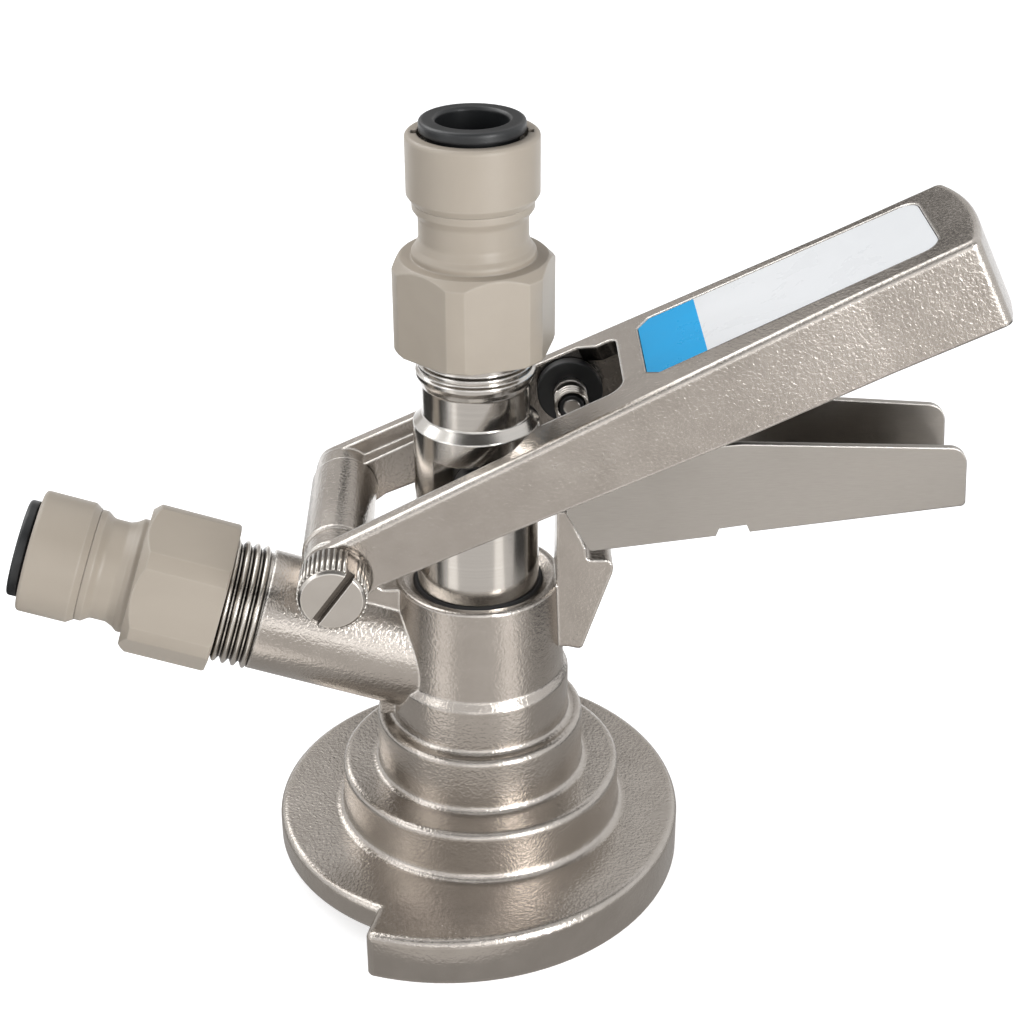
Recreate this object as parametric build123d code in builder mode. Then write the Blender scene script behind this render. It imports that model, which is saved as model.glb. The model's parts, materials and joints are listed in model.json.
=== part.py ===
from build123d import *
from math import cos, radians, sin, sqrt
import os

# Keg coupler, slide-on pattern: a cast body that slides sideways on to the neck of a keg, a
# probe that a lever handle pushes down through it, and a sprung trigger that latches the lever.
# Millimetres. The Z axis is the probe's axis, Z = 0 the lowest plane of the base, +X the way
# the handle points.

# ---------------------------------------------------------------- cast base and tiers
rim_radius = 38.5
rim_bottom = 4.5
flange_top = 9.5
skirt_radius = 43.3
skirt_centre_x = -5.6
skirt_start_x = -20.8
skirt_edge_y = 40.5
skirt_lean = 0.27
skirt_corner = 1.4
lip_thickness = 2.0
lip_mouth = 28.0
neck_groove = 33.5
seal_pocket_radius = 22.0
seal_pocket_top = 9.5
seal_bore = 15.2
seal_outer = 21.8
tier_radii = (26.2, 19.2, 16.5)
tier_tops = (19.3, 30.3, 39.1)
collar_foot_radius = 15.6
collar_foot = 40.7
collar_radius = 15.0
collar_top = 58.9
web_half = 5.2
chamber_foot_radius = 15.0
gas_chamber_radius = 12.8
gas_chamber_top = 52.5

# ---------------------------------------------------------------- probe and its seals
probe_radius = 11.0
running_gap = 0.05
guide_radius = probe_radius + running_gap
wiper_seat_radius = 11.65
mouth_radius = 13.5
mouth_depth = 1.1
wiper_seat_depth = 1.7
ring_groove_foot = 53.9
ring_groove_height = 2.0
ring_section = 0.9
ring_groove_radius = guide_radius + 2 * ring_section + 0.1
probe_foot = 10.4
foot_neck_radius = 9.4
foot_radius = 12.2
foot_notch_radius = 1.7
probe_shoulder = 89.8
probe_neck_radius = 9.35
probe_bore_radius = 6.0
probe_flat = 8.0
ball_radius = 5.6
ball_seat_radius = 5.2
ball_seat_height = 96.5
ball_chamber_radius = 7.2
ball_rest = ball_seat_height + sqrt(ball_radius**2 - ball_seat_radius**2) + 0.03
ball_lift = 3.0
retainer_bottom = ball_rest + ball_radius + ball_lift + 0.2
retainer_thickness = 1.5
retainer_hole = 2.0
retainer_hole_circle = 4.4

# ---------------------------------------------------------------- lever handle
hinge_x = -24.4
hinge_z = 70.1
handle_slope = 25.97
handle_top = 5.23
handle_end = 119.2
handle_bulge = 2.3
hinge_half_width = 20.9
top_edge_round = 1.1
end_corner = 1.7
grip_start = 99.0
grip_half_width = 14.8
end_half_width = 14.35
wall = 3.4
top_plate = 3.0
eye_radius = 5.7
boss_radius = 5.6
boss_length = 4.6
barrel_radius = 6.0
barrel_half_length = 13.2
barrel_chamfer = 0.4
boss_start = barrel_half_length + 0.2
screw_radius = 4.0
screw_head_radius = 5.65
screw_head_height = 7.4
spot_radius = 6.4
spot_depth = 0.7
slot_width = 1.5
slot_depth = 1.8
slot_angle = 54
ledge_end = 36.0
window_start = 40.5
window_end = 57.3
window_side = 10.0
window_far_side = 11.4
far_ledge_end = 50.0
underside = ((130, -11.4), (118, -11.0), (75, -9.4), (6, -5.0))
drive_z = 81.1
drive_pin_radius = 2.3
roller_radius = 4.0
roller_start = 8.2
roller_end = 12.6
pocket_half = roller_radius + 0.3
label_start = 61.5
label_end = 114.0
label_depth = 0.6
label_near = (10.1, 9.8)
label_far = (13.2, 11.4)
label_cut = 2.3
label_corner = 3.2

# ---------------------------------------------------------------- trigger
pivot_x = 17.0
pivot_z = 88.9
ear_radius = 3.0
cheek_sheet = 1.2
web_sheet = 1.4
cheek_front_half = 11.9
cheek_tail_half = 9.2
cheek_front = (19.4, 69.6)
cheek_tail = (84.9, 76.2)
notch_start = 41.4
notch_end = 47.3
notch_depth = 1.4
latch_edge_x = 25.6
trigger_pin_radius = 1.5
pin_tip = 5.8
pin_length = 10.8
sleeve_radius = 2.2
sleeve_length = 4.2
far_bush_radius = 5.9
bush_start = 12.15
bush_end = 14.2

# ---------------------------------------------------------------- push-fit adaptors
adaptor_flats = 25.6
adaptor_corner = 13.95
hex_height = 16.1
hex_chamfer = 1.4
hex_foot_chamfer = 0.4
tube_stop = 19.5
fitting_neck_radius = 9.24
cap_radius = 11.1
tube_radius = 6.0
ring_pocket_radius = 8.3
collet_radius = 7.7
collet_bore = 8.0
collet_flange_radius = 8.8
collet_flange_height = 1.8
thread_core_radius = 10.4
thread_socket_radius = 11.5
thread_socket_depth = 13.5
washer_height = 1.4
washer_radius = 11.2
washer_bore = 6.6
fitting_bore = 5.0
ring_band_radius = 10.2
spigot_radius = 9.6
inlet_radius = 11.1
inlet_rise = 17.8
inlet_axis_z = 39.2
inlet_bore_radius = 5.2
inlet_thread_start = 41.8
inlet_adaptor_start = 48.9
valve_seat = inlet_adaptor_start + 3.8
valve_pocket_radius = 8.0
beer_adaptor_start = 104.0
probe_top = beer_adaptor_start + thread_socket_depth - washer_height

side = Plane(origin=(0, 0, 0), x_dir=(1, 0, 0), z_dir=(0, -1, 0))
hinge_point = (hinge_x, 0, hinge_z)
slope = (cos(radians(handle_slope)), 0, sin(radians(handle_slope)))
rise = (-sin(radians(handle_slope)), 0, cos(radians(handle_slope)))
lever_side = Plane(origin=hinge_point, x_dir=slope, z_dir=(0, -1, 0))
lever_plan = Plane(origin=hinge_point, x_dir=slope, z_dir=rise)
inlet_way = (-cos(radians(inlet_rise)), 0, sin(radians(inlet_rise)))
inlet_up = (sin(radians(inlet_rise)), 0, cos(radians(inlet_rise)))

os.makedirs("parts", exist_ok=True)


def up_probe(height):
    """The level plane at a height, its normal along the probe's axis."""
    return Plane(origin=(0, 0, height), x_dir=(1, 0, 0), z_dir=(0, 0, 1))


def along_inlet(distance):
    """The plane square to the gas inlet, at a distance from the probe's axis."""
    origin = (inlet_way[0] * distance, 0, inlet_axis_z + inlet_way[2] * distance)
    return Plane(origin=origin, x_dir=inlet_up, z_dir=inlet_way)


def turned(place, points, rounds=()):
    """A solid of revolution about the normal of a plane, from (radius, height) points.

    rounds holds (point number, radius) for the corners that are rounded.
    """
    section = Plane(origin=place.origin, x_dir=place.x_dir, z_dir=-place.y_dir)
    with BuildPart() as piece:
        with BuildSketch(section) as outline:
            with BuildLine():
                Polyline(*points, close=True)
            make_face()
            for number, radius in rounds:
                fillet(outline.vertices().sort_by_distance((*points[number], 0))[0], radius)
        revolve(axis=Axis(place.origin, place.z_dir))
    return piece.part


def finish(piece, name):
    """Labels a finished piece and writes its file."""
    piece.part.label = name
    export_step(piece.part, f"parts/{name}.step")
    print(name, round(piece.part.volume, 1))


def lever_point(x, z):
    """A point of the raised handle: how far along its slope from the hinge, and above it."""
    along = (x - hinge_x) * slope[0] + (z - hinge_z) * slope[2]
    above = (x - hinge_x) * rise[0] + (z - hinge_z) * rise[2]
    return (along, above)


def half_width(u):
    """Half the handle's width, which tapers from the hinge to the grip."""
    return hinge_half_width + (grip_half_width - hinge_half_width) * u / grip_start


# ================================================================ cast body
def skirt_line(y):
    """Where the skirt starts on the viewer's side: its end faces lean outward from the axis."""
    return skirt_start_x + skirt_lean * (y + skirt_edge_y)


def make_body():
    r2, r3, r4 = tier_radii
    t2, t3, t4 = tier_tops
    tiers = turned(
        up_probe(0),
        [
            (0, rim_bottom),
            (r2 + 1.6, rim_bottom),
            (r2 + 1.6, flange_top),
            (r2, flange_top),
            (r2, t2),
            (r3, t2),
            (r3, t3),
            (r4, t3),
            (r4, t4),
            (collar_foot_radius, collar_foot),
            (collar_radius, collar_top),
            (0, collar_top),
        ],
        [(3, 1.5), (4, 1.2), (5, 1.2), (6, 1.1), (7, 1.0), (8, 0.6), (9, 0.6), (10, 0.5)],
    )
    with BuildPart() as body:
        # skirt that carries the keg lips, open on the side of the gas inlet
        with BuildSketch(Plane.XY):
            with Locations((skirt_centre_x, 0)):
                Circle(skirt_radius)
            with BuildLine():
                Polyline(
                    (-80, -80), (skirt_line(-80), -80), (skirt_line(-30), -30),
                    (skirt_line(-30), 30), (skirt_line(-80), 80), (-80, 80), close=True,
                )
            make_face(mode=Mode.SUBTRACT)
        extrude(amount=flange_top)
        fillet(body.edges().filter_by(Axis.Z).sort_by(Axis.X)[:2], skirt_corner)
        # thinner rim on the open side
        with BuildSketch(up_probe(rim_bottom)):
            Circle(rim_radius)
            with Locations((rim_radius, 0)):
                Rectangle(2 * rim_radius, 3 * rim_radius, mode=Mode.SUBTRACT)
        extrude(amount=flange_top - rim_bottom)
        fillet(body.edges().group_by(Axis.Z)[-1].filter_by(GeomType.CIRCLE), 1.3)
        fillet(body.edges().group_by(Axis.Z)[0].filter_by(GeomType.CIRCLE).sort_by(SortBy.LENGTH)[-1], 0.7)
        add(tiers)
        # flat web from the collar to the inlet and the hinge, and down over the upper tier
        with BuildSketch(side) as web:
            with BuildLine():
                Polyline(
                    (-13.6, 58.4), (-18.4, 58.4), (hinge_x + barrel_radius - 0.4, hinge_z - 1.5),
                    (hinge_x - barrel_radius + 0.4, hinge_z - 1.5), (-29.2, 50.0),
                    (-18.5, 42.0), (-18.5, 32.0), (-13.6, 32.0), close=True,
                )
            make_face()
            fillet(web.vertices().sort_by_distance((-18.4, 58.4, 0))[0], 2.0)
        extrude(amount=web_half, both=True)
        # catch plate on the handle's side: finger, notch and nose above, hook below
        with BuildSketch(side) as catch:
            with BuildLine():
                Polyline(
                    (13.6, 46.0), (13.6, 58.0), (14.0, 58.8), (14.0, 73.8), (15.7, 73.8),
                    (19.2, 66.3), (19.4, 63.95), (24.35, 63.95), (24.0, 61.3), (18.7, 45.4),
                    (16.2, 46.0), close=True,
                )
            make_face()
            for x, z, radius in (
                (19.4, 63.95, 1.0), (24.35, 63.95, 1.5), (24.0, 61.3, 1.0), (18.7, 45.4, 0.9), (15.7, 73.8, 0.6),
            ):
                fillet(catch.vertices().sort_by_distance((x, z, 0))[0], radius)
        extrude(amount=web_half, both=True)
        # hinge barrel
        add(
            turned(
                Plane(origin=hinge_point, x_dir=(1, 0, 0), z_dir=(0, -1, 0)),
                [
                    (0, -barrel_half_length),
                    (barrel_radius - barrel_chamfer, -barrel_half_length),
                    (barrel_radius, barrel_chamfer - barrel_half_length),
                    (barrel_radius, barrel_half_length - barrel_chamfer),
                    (barrel_radius - barrel_chamfer, barrel_half_length),
                    (0, barrel_half_length),
                ],
            )
        )
        # gas inlet tube and the core of its thread
        with BuildSketch(along_inlet(4)):
            Circle(inlet_radius)
        extrude(amount=inlet_thread_start - 4)
        with BuildSketch(along_inlet(inlet_thread_start)):
            Circle(thread_core_radius)
        extrude(amount=inlet_adaptor_start + thread_socket_depth - washer_height - inlet_thread_start)
        # keg side: mouth between the lips, groove for the neck, pocket for the body seal
        with BuildSketch(Plane.XY):
            Circle(lip_mouth)
            with Locations((-skirt_radius, 0)):
                Rectangle(2 * skirt_radius, 2 * lip_mouth)
        extrude(amount=lip_thickness + 0.2, mode=Mode.SUBTRACT)
        with BuildSketch(up_probe(lip_thickness)):
            Circle(neck_groove)
            with Locations((-skirt_radius, 0)):
                Rectangle(2 * skirt_radius, 2 * neck_groove)
        extrude(amount=rim_bottom - lip_thickness, mode=Mode.SUBTRACT)
        with BuildSketch(up_probe(rim_bottom - 0.1)):
            Circle(seal_pocket_radius)
        extrude(amount=seal_pocket_top - rim_bottom + 0.1, mode=Mode.SUBTRACT)
        # inside of the tiers, from the seal's seat up to the mouth of the collar
        groove_top = ring_groove_foot + ring_groove_height
        seat = collar_top - wiper_seat_depth
        add(
            turned(
                up_probe(0),
                [
                    (0, seal_pocket_top - 0.1),
                    (chamber_foot_radius, seal_pocket_top - 0.1),
                    (chamber_foot_radius, 17.0),
                    (gas_chamber_radius, 19.2),
                    (gas_chamber_radius, gas_chamber_top),
                    (guide_radius, gas_chamber_top),
                    (guide_radius, ring_groove_foot),
                    (ring_groove_radius, ring_groove_foot),
                    (ring_groove_radius, groove_top),
                    (guide_radius, groove_top),
                    (guide_radius, seat),
                    (wiper_seat_radius, seat),
                    (wiper_seat_radius, collar_top - mouth_depth),
                    (mouth_radius, collar_top),
                    (mouth_radius, collar_top + 0.2),
                    (0, collar_top + 0.2),
                ],
            ),
            mode=Mode.SUBTRACT,
        )
        # gas bore, with the pocket of the check valve at its mouth
        with BuildSketch(along_inlet(11)):
            Circle(inlet_bore_radius)
        extrude(amount=60, mode=Mode.SUBTRACT)
        with BuildSketch(along_inlet(valve_seat)):
            Circle(valve_pocket_radius)
        extrude(amount=20, mode=Mode.SUBTRACT)
        # bore for the hinge screw
        with BuildSketch(side):
            with Locations((hinge_x, hinge_z)):
                Circle(screw_radius + running_gap)
        extrude(amount=barrel_half_length + 1, both=True, mode=Mode.SUBTRACT)
    finish(body, "coupler_body")


def make_body_seals():
    with BuildPart() as body_seal:
        add(
            turned(
                up_probe(seal_pocket_top),
                [(seal_bore, 0), (seal_outer, 0), (seal_outer, -3.0), (20.6, -4.2), (18.0, -4.2), (seal_bore, -2.0)],
                [(3, 0.8), (4, 0.8)],
            )
        )
    finish(body_seal, "body_seal")
    ring_centre = guide_radius + ring_section
    with BuildPart() as ring:
        with BuildSketch(side):
            with Locations((ring_centre, ring_groove_foot + ring_groove_height / 2)):
                Circle(ring_section)
        revolve(axis=Axis.Z)
    finish(ring, "probe_guide_oring")
    with BuildPart() as wiper:
        add(
            turned(
                up_probe(collar_top - wiper_seat_depth),
                [(guide_radius, 0), (wiper_seat_radius, 0), (wiper_seat_radius, 0.5),
                 (guide_radius + 0.3, 0.9), (guide_radius, 0.9)],
            )
        )
    finish(wiper, "probe_wiper")


# ================================================================ probe
def make_probe():
    with BuildPart() as probe:
        add(
            turned(
                up_probe(0),
                [
                    (probe_bore_radius, probe_foot),
                    (foot_neck_radius, probe_foot),
                    (foot_neck_radius, probe_foot + 1.6),
                    (foot_radius, probe_foot + 1.6),
                    (foot_radius, probe_foot + 5.0),
                    (probe_radius, probe_foot + 6.2),
                    (probe_radius, probe_shoulder),
                    (probe_neck_radius, probe_shoulder + 1.65),
                    (probe_neck_radius, 97.0),
                    (10.05, 98.2),
                    (10.35, 99.0),
                    (10.35, 99.7),
                    (9.8, 100.2),
                    (10.05, 100.7),
                    (10.05, 101.2),
                    (9.5, 101.7),
                    (9.5, 103.2),
                    (thread_core_radius, 104.0),
                    (thread_core_radius, probe_top),
                    (ball_chamber_radius, probe_top),
                    (ball_chamber_radius, ball_seat_height + 2.0),
                    (ball_seat_radius, ball_seat_height),
                    (probe_bore_radius, ball_seat_height - 1.5),
                ],
                [(7, 0.5), (8, 0.8)],
            )
        )
        # gas notches round the foot
        with BuildSketch(up_probe(probe_foot + 1)):
            with PolarLocations(12.6, 6):
                Circle(foot_notch_radius)
        extrude(amount=8, mode=Mode.SUBTRACT)
        # a flat pocket on each side takes the handle's rollers
        with BuildSketch(up_probe(drive_z - pocket_half)):
            with Locations((0, probe_flat + 4), (0, -probe_flat - 4)):
                Rectangle(24, 8)
        extrude(amount=2 * pocket_half, mode=Mode.SUBTRACT)
    finish(probe, "probe")
    with BuildPart() as tip_seal:
        add(
            turned(
                up_probe(probe_foot),
                [(9.42, -0.6), (12.0, -0.6), (12.0, 1.55), (9.42, 1.55)],
                [(0, 0.4), (1, 0.6)],
            )
        )
    finish(tip_seal, "probe_tip_seal")
    with BuildPart() as ball:
        with Locations((0, 0, ball_rest)):
            Sphere(ball_radius)
    finish(ball, "check_ball")
    with BuildPart() as retainer:
        with BuildSketch(up_probe(retainer_bottom)):
            Circle(ball_chamber_radius)
            with PolarLocations(retainer_hole_circle, 3):
                Circle(retainer_hole, mode=Mode.SUBTRACT)
        extrude(amount=retainer_thickness)
    finish(retainer, "ball_retainer")


# ================================================================ push-fit adaptors
def make_adaptor(line, start, turn, neck, cap_length, gap):
    """A threaded adaptor for push-in tube; start(h) is the plane h beyond the foot of its hex."""
    cap_foot = hex_height + neck
    pocket = cap_foot - 3.4
    with BuildPart() as shell:
        with BuildSketch(start(0)):
            RegularPolygon(radius=adaptor_flats / 2, side_count=6, major_radius=False, rotation=turn)
        extrude(amount=hex_height)
        rounded = turned(
            start(0),
            [
                (0, 0), (adaptor_corner - hex_foot_chamfer, 0), (adaptor_corner, hex_foot_chamfer),
                (adaptor_corner, hex_height - hex_chamfer), (adaptor_corner - hex_chamfer, hex_height),
                (0, hex_height),
            ],
        )
        add(rounded, mode=Mode.INTERSECT)
        add(
            turned(
                start(0),
                [
                    (fitting_bore, hex_height - 1.0),
                    (10.5, hex_height - 1.0),
                    (10.5, hex_height + 1.0),
                    (9.8, hex_height + 1.9),
                    (fitting_neck_radius, hex_height + 3.2),
                    (fitting_neck_radius, cap_foot - 2.6),
                    (ring_band_radius, cap_foot - 1.2),
                    (ring_band_radius, cap_foot),
                    (spigot_radius, cap_foot),
                    (spigot_radius, cap_foot + 5.6),
                    (8.05, cap_foot + 5.6),
                    (8.05, cap_foot - 1.0),
                    (tube_radius + 0.1, cap_foot - 1.0),
                    (tube_radius + 0.1, tube_stop),
                    (fitting_bore, tube_stop),
                ],
                [(2, 0.7), (4, 1.2), (5, 1.2)],
            )
        )
        with BuildSketch(start(0)):
            Circle(thread_socket_radius)
        extrude(amount=thread_socket_depth, mode=Mode.SUBTRACT)
        with BuildSketch(start(0)):
            Circle(fitting_bore)
        extrude(amount=hex_height + 3, mode=Mode.SUBTRACT)
        with BuildSketch(start(pocket)):
            Circle(ring_pocket_radius)
        extrude(amount=2.4, mode=Mode.SUBTRACT)
    finish(shell, f"{line}_fitting_body")
    with BuildPart() as washer:
        with BuildSketch(start(thread_socket_depth - washer_height)):
            Circle(washer_radius)
            Circle(washer_bore, mode=Mode.SUBTRACT)
        extrude(amount=washer_height)
    finish(washer, f"{line}_tail_washer")
    with BuildPart() as ring:
        add(
            turned(
                start(pocket),
                [(6.2, 0.1), (8.2, 0.1), (8.2, 2.1), (6.2, 2.1)],
                [(0, 0.9), (1, 0.9), (2, 0.9), (3, 0.9)],
            )
        )
    finish(ring, f"{line}_fitting_oring")
    with BuildPart() as cap:
        add(
            turned(
                start(cap_foot),
                [
                    (9.65, 0.05),
                    (10.3, 0.05),
                    (cap_radius, 1.3),
                    (cap_radius, cap_length),
                    (9.1, cap_length),
                    (9.1, cap_length - 2.0),
                    (collet_bore, cap_length - 2.0),
                    (8.5, 5.7),
                    (9.65, 5.7),
                ],
                [(3, 0.7)],
            )
        )
        # a notch on each side of the collet, for a locking clip
        with BuildSketch(start(cap_foot + cap_length - 1.2)):
            with Locations((9.2, 0), (-9.2, 0)):
                Rectangle(1.6, 1.8)
        extrude(amount=1.3, mode=Mode.SUBTRACT)
    finish(cap, f"{line}_fitting_cap")
    foot = cap_length + gap
    with BuildPart() as collet:
        add(
            turned(
                start(cap_foot),
                [
                    (tube_radius + 0.05, 2.2),
                    (collet_radius, 2.2),
                    (collet_radius, foot),
                    (collet_flange_radius, foot),
                    (collet_flange_radius, foot + collet_flange_height),
                    (tube_radius + 0.4, foot + collet_flange_height),
                    (tube_radius + 0.05, foot + collet_flange_height - 0.4),
                ],
                [(4, 0.6)],
            )
        )
        with BuildSketch(start(cap_foot + 2.0)):
            with PolarLocations(7.0, 6):
                Rectangle(3, 0.8)
        extrude(amount=5, mode=Mode.SUBTRACT)
    finish(collet, f"{line}_collet")


def make_gas_valve():
    with BuildPart() as duckbill:
        add(
            turned(
                along_inlet(valve_seat),
                [(3.2, 8.3), (7.95, 8.3), (7.95, 6.6), (4.9, 6.6), (4.5, 3.0), (1.2, 0.4), (0.5, 0.4), (3.2, 4.0)],
            )
        )
    finish(duckbill, "gas_duckbill")


# ================================================================ lever handle
def plan_outline(inset):
    """The handle seen square to its top, drawn in by an inset, as a closed line."""
    start = -9.0
    hinge = hinge_half_width - inset
    grip = grip_half_width - inset
    end = end_half_width - inset
    tip = handle_end - inset
    Polyline(
        (tip, end), (grip_start, grip), (0, hinge), (start, hinge), (start, -hinge), (0, -hinge),
        (grip_start, -grip), (tip, -end),
    )
    ThreePointArc((tip, -end), (tip + handle_bulge, 0), (tip, end))


def label_outline(gap):
    """The label's outline on the handle's top: cut corners by the hinge, round ones at the grip."""
    low = label_start + gap
    high = label_end - gap
    near = gap - label_near[0]
    far = label_far[0] - gap
    cut = label_cut - 0.6 * gap
    Polyline(
        (low, near + cut), (low + cut, near), (high, gap - label_near[1]),
        (high, label_far[1] - gap), (low + cut, far), (low, far - cut), close=True,
    )


def make_handle():
    pivot = lever_point(pivot_x, pivot_z)
    drive = lever_point(0, drive_z)
    arm_inner = half_width(ledge_end) - wall
    far_inner = half_width(far_ledge_end) - wall
    ledge_top = handle_top - top_plate
    with BuildPart() as handle:
        with BuildSketch(lever_plan.offset(handle_top)) as plan:
            with BuildLine():
                plan_outline(0)
            make_face()
            fillet(plan.vertices().group_by(Axis.X)[-1], end_corner)
        extrude(amount=-30)
        fillet(handle.faces().sort_by(Axis(hinge_point, rise))[-1].edges(), top_edge_round)
        with BuildSketch(lever_side):
            with BuildLine():
                Polyline(
                    (0, handle_top), (130, handle_top), *underside,
                    (0, handle_top - 2 * eye_radius), close=True,
                )
            make_face()
            with Locations((0, handle_top - eye_radius)):
                Circle(eye_radius)
        extrude(amount=30, both=True, mode=Mode.INTERSECT)
        # hollow under the top plate
        with BuildSketch(lever_plan.offset(handle_top - top_plate)):
            with BuildLine():
                plan_outline(wall)
            make_face()
            with Locations((ledge_end - 50, 0)):
                Rectangle(100, 60, mode=Mode.SUBTRACT)
        extrude(amount=-30, mode=Mode.SUBTRACT)
        # open top between the arms, narrowing to the window over the trigger's pivot
        with BuildSketch(lever_plan.offset(ledge_top)) as opening:
            with BuildLine():
                Polyline(
                    (-12, wall - hinge_half_width), (0, wall - hinge_half_width), (ledge_end, -arm_inner),
                    (window_start, -window_side),
                    (window_end, -window_side), (window_end, window_far_side), (far_ledge_end + 3.5, window_far_side), (far_ledge_end, far_inner),
                    (0, hinge_half_width - wall), (-12, hinge_half_width - wall), close=True,
                )
            make_face()
            for u, y, radius in (
                (window_end, -window_side, 3.2), (window_end, window_far_side, 2.2), (ledge_end, -arm_inner, 3.0),
                (window_start, -window_side, 2.5),
            ):
                fillet(opening.vertices().sort_by_distance((u, y, 0))[0], radius)
        extrude(amount=10, mode=Mode.SUBTRACT)
        with BuildSketch(lever_plan.offset(ledge_top + 0.1)):
            with Locations((ledge_end / 2 - 6, 0)):
                Rectangle(ledge_end + 12, 2 * boss_start)
        extrude(amount=-30, mode=Mode.SUBTRACT)
        # bosses inside the arms, round the hinge
        for way in (1, -1):
            with BuildSketch(lever_side.offset(way * boss_start)):
                Circle(boss_radius)
            extrude(amount=way * boss_length)
        # recess of the label
        with BuildSketch(lever_plan.offset(handle_top)) as recess:
            with BuildLine():
                label_outline(0)
            make_face()
            fillet(recess.vertices().group_by(Axis.X)[-1], label_corner)
        extrude(amount=-label_depth, mode=Mode.SUBTRACT)
        # spot face under the screw's head, then the holes: hinge screw, drive pins, trigger pins
        with BuildSketch(lever_side.offset(hinge_half_width - spot_depth)):
            Circle(spot_radius)
        extrude(amount=2 * spot_depth, mode=Mode.SUBTRACT)
        with BuildSketch(lever_side):
            Circle(screw_radius)
        extrude(amount=30, both=True, mode=Mode.SUBTRACT)
        for way in (1, -1):
            with BuildSketch(lever_side.offset(way * 12)):
                with Locations(drive):
                    Circle(drive_pin_radius)
            extrude(amount=way * 5.5, mode=Mode.SUBTRACT)
            with BuildSketch(lever_side.offset(way * 12)):
                with Locations(pivot):
                    Circle(trigger_pin_radius)
            extrude(amount=way * 4.6, mode=Mode.SUBTRACT)
    finish(handle, "handle")


def make_handle_fittings():
    with BuildPart() as label:
        with BuildSketch(lever_plan.offset(handle_top - label_depth)) as face:
            with BuildLine():
                label_outline(0.15)
            make_face()
            fillet(face.vertices().group_by(Axis.X)[-1], label_corner - 0.1)
        extrude(amount=label_depth - 0.15)
    finish(label, "label_plate")
    with BuildPart() as screw:
        with BuildSketch(lever_side.offset(-hinge_half_width + 0.6)):
            Circle(screw_radius)
        extrude(amount=2 * hinge_half_width - 0.6 - spot_depth)
        with BuildSketch(lever_side.offset(hinge_half_width - spot_depth)):
            Circle(screw_head_radius)
        extrude(amount=screw_head_height + spot_depth)
        chamfer(screw.edges().filter_by(GeomType.CIRCLE).sort_by(Axis.Y)[0], 0.5)
        with BuildSketch(lever_side.offset(hinge_half_width + screw_head_height)):
            Rectangle(20, slot_width, rotation=slot_angle - handle_slope)
        extrude(amount=-slot_depth, mode=Mode.SUBTRACT)
    finish(screw, "hinge_screw")
    drive = lever_point(0, drive_z)
    with BuildPart() as pins:
        for way in (1, -1):
            with BuildSketch(lever_side.offset(way * roller_start)):
                with Locations(drive):
                    Circle(drive_pin_radius)
            extrude(amount=way * (17.4 - roller_start))
    finish(pins, "drive_pins")
    with BuildPart() as rollers:
        for way in (1, -1):
            with BuildSketch(lever_side.offset(way * roller_start)):
                with Locations(drive):
                    Circle(roller_radius)
                    Circle(drive_pin_radius, mode=Mode.SUBTRACT)
            extrude(amount=way * (roller_end - roller_start))
    finish(rollers, "drive_rollers")


# ================================================================ trigger
def sheet_plan(inset):
    """The trigger's tapering plan between its two cheeks, drawn in by an inset."""
    taper = (cheek_front_half - cheek_tail_half) / (cheek_tail[0] - cheek_front[0])
    start = cheek_front[0] - 12
    front = cheek_front_half + 12 * taper - inset
    end = cheek_tail[0] + 12
    back = cheek_tail_half - 12 * taper - inset
    Polyline((start, front), (end, back), (end, -back), (start, -front), close=True)


def cheek_bottom(x):
    """Height of the cheeks' bottom edge, which rises slightly to the tail."""
    share = (x - cheek_front[0]) / (cheek_tail[0] - cheek_front[0])
    return cheek_front[1] + share * (cheek_tail[1] - cheek_front[1])


def make_trigger():
    with BuildPart() as hollow:
        with BuildSketch(up_probe(50)):
            with BuildLine():
                sheet_plan(cheek_sheet)
            make_face()
        extrude(amount=60)
        with BuildSketch(side):
            with BuildLine():
                Polyline(
                    (0, 50), (latch_edge_x, 50), (latch_edge_x, cheek_bottom(latch_edge_x) + web_sheet),
                    (notch_start, cheek_bottom(notch_start) + web_sheet), (notch_start, 50), (notch_end, 50),
                    (notch_end, cheek_bottom(notch_end) + web_sheet),
                    (96, cheek_bottom(96) + web_sheet), (96, 110), (0, 110), close=True,
                )
            make_face()
        extrude(amount=20, both=True, mode=Mode.INTERSECT)
    with BuildPart() as trigger:
        with BuildSketch(up_probe(50)):
            with BuildLine():
                sheet_plan(0)
            make_face()
        extrude(amount=60)
        with BuildSketch(side) as cheek:
            with BuildLine():
                Polyline(
                    cheek_front, (notch_start, cheek_bottom(notch_start)),
                    (notch_start + 0.5, cheek_bottom(notch_start) + notch_depth),
                    (notch_end - 0.6, cheek_bottom(notch_end) + notch_depth),
                    (notch_end, cheek_bottom(notch_end)), cheek_tail, (84.1, 87.3), (45.1, 89.4),
                    (35.0, 88.8), (27.0, 84.0), (20.6, 86.6), (pivot_x + 2.0, pivot_z + 2.2),
                    (pivot_x - 2.95, pivot_z), (15.4, 76.9), close=True,
                )
            make_face()
            for x, z, radius in ((84.1, 87.3, 3.2), (*cheek_tail, 0.8), (27.0, 84.0, 4.0), (*cheek_front, 1.0)):
                fillet(cheek.vertices().sort_by_distance((x, z, 0))[0], radius)
            with Locations((pivot_x, pivot_z)):
                Circle(ear_radius)
        extrude(amount=20, both=True, mode=Mode.INTERSECT)
        add(hollow.part, mode=Mode.SUBTRACT)
        with BuildSketch(side):
            with Locations((pivot_x, pivot_z)):
                Circle(trigger_pin_radius + running_gap)
        extrude(amount=20, both=True, mode=Mode.SUBTRACT)
    finish(trigger, "trigger")


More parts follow.
